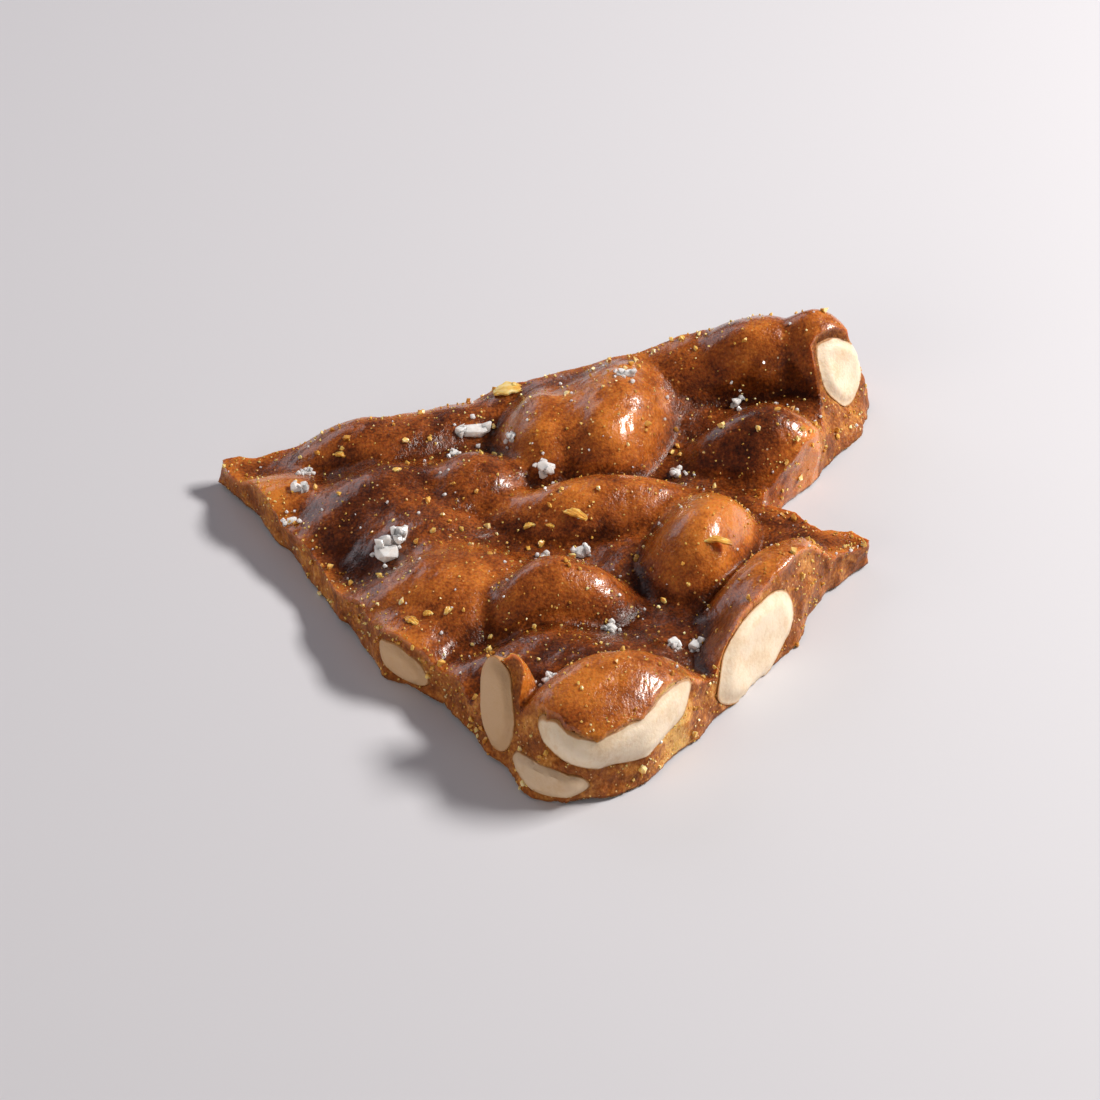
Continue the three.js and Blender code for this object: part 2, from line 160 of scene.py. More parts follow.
def noiseAt(x, y, z, spacing, which):          # smooth noise from -1 to 1
    grid = [np.asarray(c, float) / spacing for c in (x, y, z)]
    cell = [np.floor(g) for g in grid]
    u, v, w = [(g - c) ** 2 * (3 - 2 * (g - c)) for g, c in zip(grid, cell)]
    total = 0
    for di in (0, 1):
        for dj in (0, 1):
            for dk in (0, 1):
                weight = (u if di else 1 - u) * (v if dj else 1 - v) * (w if dk else 1 - w)
                total = total + weight * hashOf(cell[0] + di, cell[1] + dj, cell[2] + dk, which)
    return 2 * total - 1


def smoothMax(a, b, blend):
    overlap = np.maximum(blend - np.abs(a - b), 0) / blend
    return np.maximum(a, b) + overlap * overlap * blend / 4


def crownOf(radius):                           # 1 at a crest, 0 at the foot, then lower
    square = radius * radius
    return 1 - square * (1 - slab["skirt"]) - square * square * slab["skirt"]


def coatOf(nut):                               # the lump of toffee over a cut nut
    x, y, z, long, wide, high, turn, tilt, roll, tone = nut[1:11]
    lift = (high + slab["skin"]) / math.cos(math.radians(tilt)) / math.cos(math.radians(roll))
    return (x, y, z + lift, long + slab["skin"], wide + slab["skin"], lift, turn, tone, tilt, roll, 0)


coats = [lump + (0, 0, slab["warp"]) for lump in lumps] + [coatOf(nut) for nut in cutNuts]


def strayAt(x, y):                             # how the lumps stray from true ovals
    return [noiseAt(x, y, 0, slab["warpLength"], draw[name]) for name in ("warpX", "warpY")]


def lumpHeight(lump, x, y, stray):
    lx, ly, top, long, wide, high, turn, tone, tilt, roll, warp = lump
    angle, tilt, roll = (math.radians(a) for a in (turn, tilt, roll))
    dx = x - lx + warp * stray[0]
    dy = y - ly + warp * stray[1]
    along = dx * math.cos(angle) + dy * math.sin(angle)
    across = dy * math.cos(angle) - dx * math.sin(angle)
    radius = np.hypot(along / (long * math.cos(tilt)), across / (wide * math.cos(roll)))
    leaning = np.clip(along, -long, long) * math.tan(tilt)
    leaning = leaning + np.clip(across, -wide, wide) * math.tan(roll)
    return top + leaning - high * (1 - crownOf(radius))


def toffeeTop(x, y):
    height = slab["thickness"] + slab["swell"] * noiseAt(x, y, 0, slab["swellLength"], draw["swell"])
    for sx, sy, rise, radius in swells:
        height = height + rise * np.exp(-((x - sx) ** 2 + (y - sy) ** 2) / radius ** 2)
    stray = strayAt(x, y)
    for lump in coats:
        height = smoothMax(height, lumpHeight(lump, x, y, stray), slab["blend"])
    return height + slab["ripple"] * noiseAt(x, y, 0, slab["rippleLength"], draw["ripple"])


def pitsOf(count):                             # burst bubbles: x, y, radius
    rng = np.random.default_rng(slab["pitSeed"])
    spots = rng.uniform(-slab["pitReach"], slab["pitReach"], (count, 2))
    return np.column_stack([spots, rng.uniform(*slab["pitSize"], count)])


pits = pitsOf(slab["pits"])


def creasesAt(x, y):                           # fine relief of the skin, in mm
    flow = math.radians(slab["flow"])
    along = x * math.cos(flow) + y * math.sin(flow)
    across = y * math.cos(flow) - x * math.sin(flow)
    bend = noiseAt(x, y, 0, slab["flowBend"], draw["creaseBend"])
    along = along / slab["flowStretch"] + bend
    size = slab["wrinkleLength"]
    relief = noiseAt(along, across + bend, 0, size, draw["wrinkle"])
    finerSize = size / slab["finerRatio"]
    finer = noiseAt(along, across + bend, slab["finerLayer"], finerSize, draw["wrinkle"])
    relief = (relief + slab["finer"] * finer) * slab["wrinkle"]
    for px, py, radius in pits:
        relief = relief - slab["pitDepth"] * np.exp(-((x - px) ** 2 + (y - py) ** 2) / radius ** 2)
    return relief


def toneAt(x, y):                              # how amber the toffee is at a place, with the painted light and shade added
    base = slab["thickness"] + 0 * x
    tone = baseTone + 0 * x
    stray = strayAt(x, y)
    for lump in coats:
        height = lumpHeight(lump, x, y, stray)
        share = smoothStep(height - base, *slab["toneRise"])
        tone = tone + (lump[7] - tone) * share
        base = np.maximum(base, height)
    # painted light and shade: the toffee is made darker where shade falls and more golden where light
    # falls
    for sx, sy, radius, change in paintedShadeAndLight:
        tone = tone + change * np.exp(-((x - sx) ** 2 + (y - sy) ** 2) / radius ** 2)
    return tone


def hollowAt(x, y, away):                      # above 0 in a dip, below 0 on a crest
    around = 0
    sides = slab["hollowSides"]
    for n in range(sides):
        angle = math.tau * n / sides
        around = around + toffeeTop(x + away * math.cos(angle), y + away * math.sin(angle)) / sides
    return (around - toffeeTop(x, y)) / away


def breakSides():                              # corner, next corner, direction and length
    for here, there in zip(corners, np.roll(corners, -1, axis=0)):
        dx, dy = there[0] - here[0], there[1] - here[1]
        yield here, there, dx, dy, math.hypot(dx, dy)


def nearestOnBreak(x, y):                      # distance to the outline, and along it
    nearest = np.full(np.shape(x), np.inf)
    along = np.zeros(np.shape(x))
    start = 0
    for here, there, dx, dy, length in breakSides():
        t = np.clip(((x - here[0]) * dx + (y - here[1]) * dy) / length ** 2, 0, 1)
        away = np.hypot(x - here[0] - dx * t, y - here[1] - dy * t)
        along = np.where(away < nearest, start + length * t, along)
        nearest = np.minimum(nearest, away)
        start += length
    return nearest, along


def distanceToBreak(x, y):
    return nearestOnBreak(x, y)[0]


def toffeeUnderside(x, y):
    inner = smoothStep(distanceToBreak(x, y), 0, slab["underRim"])
    curl = 0.5 + 0.5 * noiseAt(x, y, 0, slab["underRim"], draw["curl"])
    return slab["underLift"] * curl * (1 - inner)


def objectFrom(bm, name):
    mesh = bpy.data.meshes.new(name)
    bm.to_mesh(mesh)
    bm.free()
    made = bpy.data.objects.new(name, mesh)
    bpy.context.scene.collection.objects.link(made)
    return made


def placesOf(mesh):
    places = np.zeros(len(mesh.vertices) * 3)
    mesh.vertices.foreach_get("co", places)
    return places.reshape(-1, 3)


def movePlaces(mesh, places):
    mesh.vertices.foreach_set("co", np.asarray(places, np.float32).ravel())
    mesh.update()


def blockWithFace(name, cell, facesUp):
    cells = round(2 * slab["reach"] / cell)
    bm = bmesh.new()
    bmesh.ops.create_grid(bm, x_segments=cells, y_segments=cells, size=slab["reach"])
    border = [edge for edge in bm.edges if edge.is_boundary]
    skirt = bmesh.ops.extrude_edge_only(bm, edges=border)["geom"]
    far = -slab["depth"] if facesUp else slab["depth"]
    for vert in skirt:
        if isinstance(vert, bmesh.types.BMVert):
            vert.co.z = far
    bmesh.ops.holes_fill(bm, edges=[edge for edge in bm.edges if edge.is_boundary], sides=0)
    bmesh.ops.recalc_face_normals(bm, faces=bm.faces)
    block = objectFrom(bm, name)
    places = placesOf(block.data)
    face = places[:, 2] == 0
    x, y = places[face, 0], places[face, 1]
    if facesUp:
        places[face, 2] = toffeeTop(x, y) + creasesAt(x, y)
    else:
        pan = noiseAt(x, y, 0, slab["panLength"], draw["pan"])
        places[face, 2] = toffeeUnderside(x, y) + slab["pan"] * np.maximum(pan, 0)
    movePlaces(block.data, places)
    return block


def breakTable():                              # the way inward and the lean, along the break
    rows = []
    start = 0
    for here, there, dx, dy, length in breakSides():
        count = max(1, round(length / fracture["coarseStep"]))
        for n in range(count):
            t = n / count
            lean = here[2] + (there[2] - here[2]) * t
            rows.append((start + length * t, -dy / length, dx / length, lean))
        start += length
    table = np.array(rows)
    near = range(-fracture["cornerPoints"], fracture["cornerPoints"] + 1)
    inward = sum(np.roll(table[:, 1:3], -n, axis=0) for n in near)
    table[:, 1:3] = inward / np.linalg.norm(inward, axis=1)[:, None]
    closing = table[0].copy()
    closing[0] = start
    return np.vstack([table, closing])


def brokenPrism(name, step, layer, proud, rough):
    bm = bmesh.new()
    ring = [bm.verts.new((x, y, -fracture["below"])) for x, y, lean in corners]
    edges = [bm.edges.new((a, b)) for a, b in zip(ring, ring[1:] + ring[:1])]
    for edge in edges:
        cuts = round(edge.calc_length() / step) - 1
        if cuts > 0:
            bmesh.ops.subdivide_edges(bm, edges=[edge], cuts=cuts)
    level = list(bm.edges)
    for _ in range(round((fracture["height"] + fracture["below"]) / layer)):
        raised = bmesh.ops.extrude_edge_only(bm, edges=level)["geom"]
        verts = [item for item in raised if isinstance(item, bmesh.types.BMVert)]
        level = [item for item in raised if isinstance(item, bmesh.types.BMEdge)]
        bmesh.ops.translate(bm, verts=verts, vec=(0, 0, layer))
    bmesh.ops.holes_fill(bm, edges=[edge for edge in bm.edges if edge.is_boundary], sides=0)
    bmesh.ops.recalc_face_normals(bm, faces=bm.faces)
    prism = objectFrom(bm, name)
    places = placesOf(prism.data)
    table = breakTable()
    nearest, along = nearestOnBreak(places[:, 0], places[:, 1])
    inX, inY, lean = (np.interp(along, table[:, 0], table[:, n]) for n in (1, 2, 3))
    z = places[:, 2]
    inward = lean * np.minimum(z, fracture["leanTop"]) - proud
    x = places[:, 0] + inX * inward
    y = places[:, 1] + inY * inward
    moveX, moveY = 0, 0
    for size, length, drawX, drawY in rough:
        moveX = moveX + size * noiseAt(x, y, z, length, draw[drawX])
        moveY = moveY + size * noiseAt(x, y, z, length, draw[drawY])
    movePlaces(prism.data, np.column_stack([x + moveX, y + moveY, z]))
    return prism


def combine(base, others, operation):
    for other in others:
        step = base.modifiers.new(other.name, "BOOLEAN")
        step.operation = operation
        step.solver = "MANIFOLD"
        step.object = other
    graph = bpy.context.evaluated_depsgraph_get()
    mesh = bpy.data.meshes.new_from_object(base.evaluated_get(graph))
    base.modifiers.clear()
    old = base.data
    base.data = mesh
    bpy.data.meshes.remove(old)
    return base


def discard(*objects):
    for item in objects:
        mesh = item.data
        bpy.data.objects.remove(item)
        bpy.data.meshes.remove(mesh)


def setValues(mesh, name, values):
    attribute = mesh.attributes.new(name, "FLOAT", "POINT")
    attribute.data.foreach_set("value", np.asarray(values, np.float32))


def keepLargest(bm):
    left = set(bm.verts)
    islands = []
    while left:
        stack = [left.pop()]
        island = set(stack)
        while stack:
            for edge in stack.pop().link_edges:
                for vert in edge.verts:
                    if vert in left:
                        left.remove(vert)
                        island.add(vert)
                        stack.append(vert)
        islands.append(island)
    islands.sort(key=len)
    for island in islands[:-1]:
        bmesh.ops.delete(bm, geom=list(island), context="VERTS")
    return len(islands) - 1


kernelShape = {
    "uneven": 0.07, "unevenLength": 0.7, "clearance": 0.03, "subdivisions": 5,
    "softPasses": 10, "softInside": 0.985, "soft": 0.5,     # rounds the cut face
    "bulge": 0.55, "bulgeWidth": 0.3,                       # lets it stand out a little
}


def turnOf(nut):
    turn, tilt, roll = nut[7:10]
    return Euler([math.radians(a) for a in (roll, -tilt, turn)], "XYZ").to_matrix()


def kernelOf(nut, grow):                       # a slightly uneven oval nut
    name, x, y, z, long, wide, high = nut[:7]
    bm = bmesh.new()
    bmesh.ops.create_icosphere(bm, subdivisions=kernelShape["subdivisions"], radius=1)
    kernel = objectFrom(bm, name + "_kernel")
    places = placesOf(kernel.data)
    uneven = noiseAt(*(places + (x, y, z)).T, kernelShape["unevenLength"], draw["nutShape"])
    places = places * (1 + kernelShape["uneven"] * uneven[:, None])
    places = places * (long + grow, wide + grow, high + grow)
    movePlaces(kernel.data, places @ np.array(turnOf(nut)).T + (x, y, z))
    return kernel


coarse = (fracture["coarse"], fracture["coarseLength"], "wallX", "wallY")
fine = (fracture["fine"], fracture["fineLength"], "fineX", "fineY")
grit = (fracture["grit"], fracture["gritLength"], "gritX", "gritY")
nutRelief = (fracture["nutRelief"], fracture["nutReliefLength"], "fineX", "fineY")
nutGrain = (fracture["nutGrain"], fracture["nutGrainLength"], "nutGrain", "gritY")
wall = brokenPrism("wall", fracture["step"], fracture["layer"], 0, [coarse, fine, grit])
nutWall = brokenPrism("nut_wall", fracture["nutStep"], fracture["nutStep"],
                      fracture["nutProud"], [coarse, nutRelief, nutGrain])
top = blockWithFace("top", slab["topCell"], True)
under = blockWithFace("under", slab["underCell"], False)
print("blocks made:", len(wall.data.vertices), len(top.data.vertices), len(under.data.vertices))

toffee = combine(wall, [under, top], "INTERSECT")
toffee.name = "toffee_slab"
kernels = [kernelOf(nut, kernelShape["clearance"]) for nut in cutNuts]
combine(toffee, kernels, "DIFFERENCE")

bm = bmesh.new()
bm.from_mesh(toffee.data)
bmesh.ops.remove_doubles(bm, verts=bm.verts, dist=slab["weld"])
bmesh.ops.dissolve_degenerate(bm, edges=bm.edges, dist=slab["sliver"])
scraps = keepLargest(bm)
rimAngle = math.radians(slab["rimAngle"])
rim = set()
for edge in bm.edges:
    if edge.is_manifold and edge.calc_face_angle() > rimAngle:
        rim.update(edge.verts)
for _ in range(slab["rimPasses"]):
    bmesh.ops.smooth_vert(bm, verts=list(rim), factor=slab["softRim"],
                          use_axis_x=True, use_axis_y=True, use_axis_z=True)
bmesh.ops.triangulate(bm, faces=bm.faces)
surface = BVHTree.FromBMesh(bm)
bm.to_mesh(toffee.data)
bm.free()
print("toffee slab:", len(toffee.data.polygons), "triangles,", scraps, "scraps removed")

places = placesOf(toffee.data)
x, y, z = places.T
glazeX, glazeY, glazeReach = fracture["glazed"]
inside, outside = fracture["glazedEdge"]
bare = smoothStep(np.hypot(x - glazeX, y - glazeY), glazeReach + inside, glazeReach + outside)
# the ledge is painted golden and paler: its golden crumbs and painted light where it faces the key
# lamp
ledgeX, ledgeY = fracture["litLedgeAt"]
litGoldenLedge = smoothStep(-np.hypot(x - ledgeX, y - ledgeY), -fracture["litLedgeReach"], 0)
setValues(toffee.data, "depth", (toffeeTop(x, y) + creasesAt(x, y) - z) * bare)
setValues(toffee.data, "lift", z - toffeeUnderside(x, y))
setValues(toffee.data, "tone", toneAt(x, y))
# hollow marks the dips, which the skin colour darkens as painted shade and which carry less coat
setValues(toffee.data, "hollow", hollowAt(x, y, slab["hollowReach"]))
# the paler rim: its crumbly golden edge and painted glow of light through the thin edge
setValues(toffee.data, "rim", 1 - smoothStep(distanceToBreak(x, y), 0, slab["paleRim"]))
setValues(toffee.data, "litGoldenLedge", litGoldenLedge)


def roundCut(mesh, radius):                    # radius is 1 at the edge of the cut
    bm = bmesh.new()
    bm.from_mesh(mesh)
    inner = [vert for vert in bm.verts if radius[vert.index] < kernelShape["softInside"]]
    for _ in range(kernelShape["softPasses"]):
        bmesh.ops.smooth_vert(bm, verts=inner, factor=kernelShape["soft"],
                              use_axis_x=True, use_axis_y=True, use_axis_z=True)
    bm.normal_update()
    normals = {vert: vert.normal.copy() for vert in inner}
    share = smoothStep(1 - radius, 0, kernelShape["bulgeWidth"])
    for vert in inner:
        vert.co += normals[vert] * kernelShape["bulge"] * share[vert.index]
    bm.to_mesh(mesh)
    bm.free()


nutPieces = []
for nut in cutNuts:
    name, nx, ny, nz, long, wide, high = nut[:7]
    piece = combine(kernelOf(nut, 0), [nutWall, under], "INTERSECT")
    piece.name = "cut_" + name
    local = (placesOf(piece.data) - (nx, ny, nz)) @ np.array(turnOf(nut)) / (long, wide, high)
    radius = np.linalg.norm(local, axis=1)
    outward = local / radius[:, None] + (nx, ny, nz)
    uneven = noiseAt(*outward.T, kernelShape["unevenLength"], draw["nutShape"])
    radius = radius / (1 + kernelShape["uneven"] * uneven)
    roundCut(piece.data, radius)
    setValues(piece.data, "radius", radius)
    # browner flesh: partly toast, partly painted shade on nuts turned from the key lamp
    setValues(piece.data, "toastAndShade", np.full(len(local), nut[11]))
    nutPieces.append(piece)
print("cut nuts:", sum(len(piece.data.polygons) for piece in nutPieces), "faces")
discard(nutWall, top, under, *kernels)


# Salt crystals: x, y, length, width, height and turn in degrees.
crystals = [
    (-7.2, 18.2, 3.2, 1.8, 1.2, 5), (-15.4, -2.6, 2.8, 2.3, 1.7, 30),
    (-14.2, -0.7, 2.1, 1.8, 1.5, 70), (0.2, 10.9, 1.9, 1.7, 1.3, 60),
    (-24.6, 8.6, 1.8, 1.3, 1.0, 10), (-24.0, 12.5, 1.3, 1.0, 0.8, 0),
    (-25.2, 4.7, 1.6, 0.9, 0.7, 20), (3.6, -0.6, 1.6, 1.4, 1.2, 40),
    (0.0, -1.3, 1.4, 1.2, 1.0, 80), (19.5, 23.3, 1.4, 1.2, 1.0, 25),
    (-9.2, 15.0, 1.3, 0.9, 0.7, 0), (-3.3, 15.1, 1.0, 1.0, 0.8, 45),
    (6.4, -13.6, 1.3, 1.2, 1.0, 50), (0.2, -24.8, 1.3, 1.1, 0.9, 15),
    (12.3, -15.6, 1.3, 1.1, 1.0, 35), (14.4, -15.5, 1.6, 1.3, 1.1, 65),
    (8.3, 21.8, 1.9, 1.1, 0.8, 10), (13.2, 12.3, 1.5, 1.0, 0.9, 85),
]
# Crisp golden chips, in the same way.
chips = [
    (-3.6, 24.0, 3.4, 1.7, 0.9, 12), (16.4, -4.6, 3.6, 0.9, 0.8, -8),
    (2.8, 3.1, 3.0, 1.0, 0.8, -30),
    (-1.4, 2.6, 1.5, 0.5, 0.4, 20), (-0.3, 1.1, 1.1, 0.5, 0.4, 65),
    (0.5, 2.3, 0.9, 0.4, 0.3, -20), (-14.8, 9.6, 1.2, 0.5, 0.4, 35),
    (-20.6, 14.2, 1.1, 0.6, 0.4, -15), (-9.2, -12.4, 1.3, 0.5, 0.4, 50),
    (8.6, -20.4, 1.2, 0.5, 0.4, 10), (26.0, 0.6, 1.2, 0.5, 0.4, -40),
    (9.0, -2.0, 1.1, 0.5, 0.4, 80), (-12.8, -13.4, 1.6, 0.8, 0.4, -40),
    (-11.2, -12.6, 1.0, 0.6, 0.4, 10),
]
saltShape = {
    "seed": 21, "kinds": 14, "corners": 18, "squareness": 0.62, "sink": 0.3,
    "core": 0.85, "clump": 4, "clumpSize": (0.4, 0.7),      # what a crystal is made of
    "clumpFlat": 0.8, "uneven": (0.6, 1),
    "bits": 3, "bitSize": (0.3, 0.65),                      # small ones beside it
    "bitReach": 0.75, "bitSpread": (0.6, 1),
    "dust": 130, "dustSize": (0.16, 0.42), "dustSink": 0.2,
}
crumbShape = {
    "kinds": 20, "onTop": 1100, "onWalls": 700, "onRim": 500, "rimWidth": 1.6,
    "size": (0.12, 0.34), "large": 0.11, "largeSize": (0.4, 0.8),
    "uneven": (0.5, 1.1), "ragged": 0.4, "sink": 0.15,
    "reach": 33, "above": 30,                               # where they fall from
    "sideways": 60, "aim": 14, "aimHeight": (0.5, 7), "steep": 0.8,
    "chipGrid": (16, 6), "chipThickness": 0.2, "chipRagged": 0.22, "chipArch": 0.5,
    "chipTaper": 0.6, "chipRipple": 0.05,
    "chipWaves": (5, 11, 2), "chipRipples": (4, 7),         # how closely they follow
}


def randomTurn(rng):
    return np.array(Euler(rng.uniform(0, math.tau, 3), "XYZ").to_matrix())


def shapeFrom(bm):                             # a small shape as places and triangles
    bmesh.ops.triangulate(bm, faces=bm.faces)
    bmesh.ops.recalc_face_normals(bm, faces=bm.faces)
    bm.verts.index_update()
    places = np.array([vert.co[:] for vert in bm.verts])
    faces = np.array([[vert.index for vert in face.verts] for face in bm.faces])
    bm.free()
    return places, faces


def crystalShape(rng):                         # at most one unit long, wide and high
    points = rng.normal(size=(saltShape["corners"], 3))
    points /= np.linalg.norm(points, axis=1)[:, None]
    points = np.sign(points) * np.abs(points) ** saltShape["squareness"]
    points = points / np.abs(points).max(axis=0) / 2
    bm = bmesh.new()
    hull = bmesh.ops.convex_hull(bm, input=[bm.verts.new(point) for point in points])
    spare = {item for item in hull["geom_interior"] + hull["geom_unused"]
             if isinstance(item, bmesh.types.BMVert)}
    bmesh.ops.delete(bm, geom=list(spare), context="VERTS")
    return shapeFrom(bm)


def crumbShapeOf(rng):
    bm = bmesh.new()
    bmesh.ops.create_icosphere(bm, subdivisions=1, radius=0.5)
    for vert in bm.verts:
        vert.co += Vector(rng.uniform(-0.5, 0.5, 3)) * crumbShape["ragged"]
    return shapeFrom(bm)


def chipShape(chip, rng):
    cx, cy, long, wide, high, turn = chip
    columns, rows = crumbShape["chipGrid"]
    slow, quick, slant = crumbShape["chipWaves"]
    lengthways, across = crumbShape["chipRipples"]
    bm = bmesh.new()
    bmesh.ops.create_grid(bm, x_segments=columns, y_segments=rows, size=1)
    phase = rng.uniform(0, math.tau, 3)
    for vert in bm.verts:
        u, v = vert.co.x, vert.co.y
        wave = math.sin(slow * u + phase[0]) + math.sin(quick * u + phase[1] + slant * v)
        taper = 1 - crumbShape["chipTaper"] * abs(u) ** 3
        ragged = taper * (1 + crumbShape["chipRagged"] * wave / 2)
        arch = high * crumbShape["chipArch"] * (0.5 - u * u)
        ripple = math.sin(across * v + lengthways * u + phase[2])
        ripple = crumbShape["chipRipple"] * ripple
        vert.co = (u * long / 2, v * wide / 2 * ragged, arch + ripple)
    bmesh.ops.solidify(bm, geom=bm.faces[:], thickness=crumbShape["chipThickness"])
    return shapeFrom(bm)


def joinedCopies(name, copies):                # each a shape, a 3 x 3 matrix and a place
    places, faces, count = [], [], 0
    for shape, matrix, centre in copies:
        places.append(shape[0] @ matrix.T + np.array(centre))
        faces.append(shape[1] + count)
        count += len(shape[0])
    mesh = bpy.data.meshes.new(name)
    mesh.from_pydata(np.concatenate(places), [], np.concatenate(faces))
    made = bpy.data.objects.new(name, mesh)
    bpy.context.scene.collection.objects.link(made)
    print(name + ":", len(copies), "of them,", len(mesh.polygons), "triangles")
    return made


def onTop(rng):                                # a random place on the poured top
    while True:
        px, py = rng.uniform(-crumbShape["reach"], crumbShape["reach"], 2)
        hit, normal, index, away = surface.ray_cast((px, py, crumbShape["above"]), (0, 0, -1))
        if hit is not None:
            return hit, normal


def onRim(rng):                                # a random place on the top beside the break
    while True:
        hit, normal = onTop(rng)
        if distanceToBreak(hit.x, hit.y) < crumbShape["rimWidth"]:
            return hit, normal


def onWall(rng):                               # a random place on the broken sides
    while True:
        angle = rng.uniform(0, math.tau)
        middle = rng.uniform(-crumbShape["aim"], crumbShape["aim"], 2)
        aim = Vector((*middle, rng.uniform(*crumbShape["aimHeight"])))
        far = crumbShape["sideways"]
        start = Vector((far * math.cos(angle), far * math.sin(angle), aim.z))
        hit, normal, index, away = surface.ray_cast(start, aim - start)
        if hit is not None and abs(normal.z) < crumbShape["steep"]:
            return hit, normal


def turnedBy(degrees):
    return np.array(Matrix.Rotation(math.radians(degrees), 3, "Z"))


def restOf(item):                              # where a crystal or chip lies
    cx, cy, long, wide, high, turn = item
    ground = toffeeTop(np.array([cx]), np.array([cy]))[0]
    return (cx, cy, ground + high * (0.5 - saltShape["sink"]))


rng = np.random.default_rng(saltShape["seed"])
shapes = [crystalShape(rng) for _ in range(saltShape["kinds"])]


def smallCrystal(hit, normal, sizeRange):
    size = rng.uniform(*sizeRange)
    matrix = randomTurn(rng) @ np.diag(size * rng.uniform(*saltShape["uneven"], 3))
    return shapes[rng.integers(len(shapes))], matrix, hit + normal * size * saltShape["dustSink"]


copies = []
for n, item in enumerate(crystals):
    cx, cy, long, wide, high, turn = item
    centre = np.array(restOf(item))
    matrix = turnedBy(turn) @ np.diag((long, wide, high))
    copies.append((shapes[n % len(shapes)], matrix * saltShape["core"], centre))
    for _ in range(saltShape["clump"]):
        shape = shapes[rng.integers(len(shapes))]
        part = randomTurn(rng) @ np.diag(min(long, wide) * rng.uniform(*saltShape["clumpSize"], 3))
        corner = matrix @ rng.choice(shape[0]) * saltShape["core"]
        copies.append((shape, part, centre + corner * (1, 1, saltShape["clumpFlat"])))
    for _ in range(saltShape["bits"]):
        angle = rng.uniform(0, math.tau)
        reach = long * saltShape["bitReach"] * rng.uniform(*saltShape["bitSpread"])
        start = (cx + reach * math.cos(angle), cy + reach * math.sin(angle), crumbShape["above"])
        hit, normal, index, away = surface.ray_cast(start, (0, 0, -1))
        if hit is not None:
            copies.append(smallCrystal(hit, normal, saltShape["bitSize"]))
for _ in range(saltShape["dust"]):
    copies.append(smallCrystal(*onTop(rng), saltShape["dustSize"]))
salt = joinedCopies("salt_crystals", copies)

shapes = [crumbShapeOf(rng) for _ in range(crumbShape["kinds"])]
copies = []
spots = [onTop] * crumbShape["onTop"] + [onWall] * crumbShape["onWalls"]
spots += [onRim] * crumbShape["onRim"]
for n, spot in enumerate(spots):
    hit, normal = spot(rng)
    large = rng.random() < crumbShape["large"]
    size = rng.uniform(*crumbShape["largeSize" if large else "size"])
    matrix = randomTurn(rng) @ np.diag(size * rng.uniform(*crumbShape["uneven"], 3))
    copies.append((shapes[n % len(shapes)], matrix, hit + normal * size * crumbShape["sink"]))
for chip in chips:
    copies.append((chipShape(chip, rng), turnedBy(chip[5]), restOf(chip)))
gold = joinedCopies("golden_crumbs", copies)


def newMaterial(name):
    material = bpy.data.materials.new(name)
    material.use_nodes = True
    return material, material.node_tree, material.node_tree.nodes["Principled BSDF"]


def addNode(tree, kind, inputs=None, **settings):
    made = tree.nodes.new(kind)
    for key, value in settings.items():
        setattr(made, key, value)
    for key, value in (inputs or {}).items():
        if isinstance(value, bpy.types.NodeSocket):
            tree.links.new(value, made.inputs[key])
        else:
            made.inputs[key].default_value = value
    return made


def mathOf(tree, operation, a, b):
    return addNode(tree, "ShaderNodeMath", {0: a, 1: b}, operation=operation).outputs[0]


def rangeOf(tree, value, low, high, toLow=0.0, toHigh=1.0):
    node = addNode(tree, "ShaderNodeMapRange", {
        "Value": value, "From Min": low, "From Max": high, "To Min": toLow, "To Max": toHigh,
    }, interpolation_type="SMOOTHSTEP")
    return node.outputs["Result"]


def valueOf(tree, name):
    return addNode(tree, "ShaderNodeAttribute", attribute_name=name).outputs["Fac"]


def rampOf(tree, value, stops):
    node = addNode(tree, "ShaderNodeValToRGB", {"Fac": value})
    elements = node.color_ramp.elements
    while len(elements) < len(stops):
        elements.new(0.5)
    for element, (position, colour) in zip(elements, stops):
        element.position = position
        element.color = (*colour, 1)
    return node.outputs["Color"]


def mixOf(tree, share, a, b):
    node = addNode(tree, "ShaderNodeMix", {"Factor": share}, data_type="RGBA")
    for socket, value in ((node.inputs[6], a), (node.inputs[7], b)):     # its colours
        if isinstance(value, bpy.types.NodeSocket):
            tree.links.new(value, socket)
        else:
            socket.default_value = (*value, 1)
    return node.outputs[2]


def noiseOf(tree, where, size, detail, stretch=None):
    if stretch:
        where = addNode(tree, "ShaderNodeMapping", {"Vector": where, "Scale": stretch}).outputs[0]
    return addNode(tree, "ShaderNodeTexNoise", {
        "Vector": where, "Scale": 1 / (size * mm), "Detail": detail,
    }).outputs["Fac"]


def specksOf(tree, where, spacing, size, share, edge=0.55):
    cells = addNode(tree, "ShaderNodeTexVoronoi", {"Vector": where, "Scale": 1 / (spacing * mm)})
    pick = addNode(tree, "ShaderNodeSeparateColor", {"Color": cells.outputs["Color"]})
    near = rangeOf(tree, cells.outputs["Distance"], size, size * edge)
    chosen = mathOf(tree, "LESS_THAN", pick.outputs[0], share)
    return mathOf(tree, "MULTIPLY", near, chosen)


def sumOf(tree, *terms):                       # each term a value and its weight
    total = 0.0
    for value, weight in terms:
        total = mathOf(tree, "ADD", total, mathOf(tree, "MULTIPLY", value, weight))
    return total


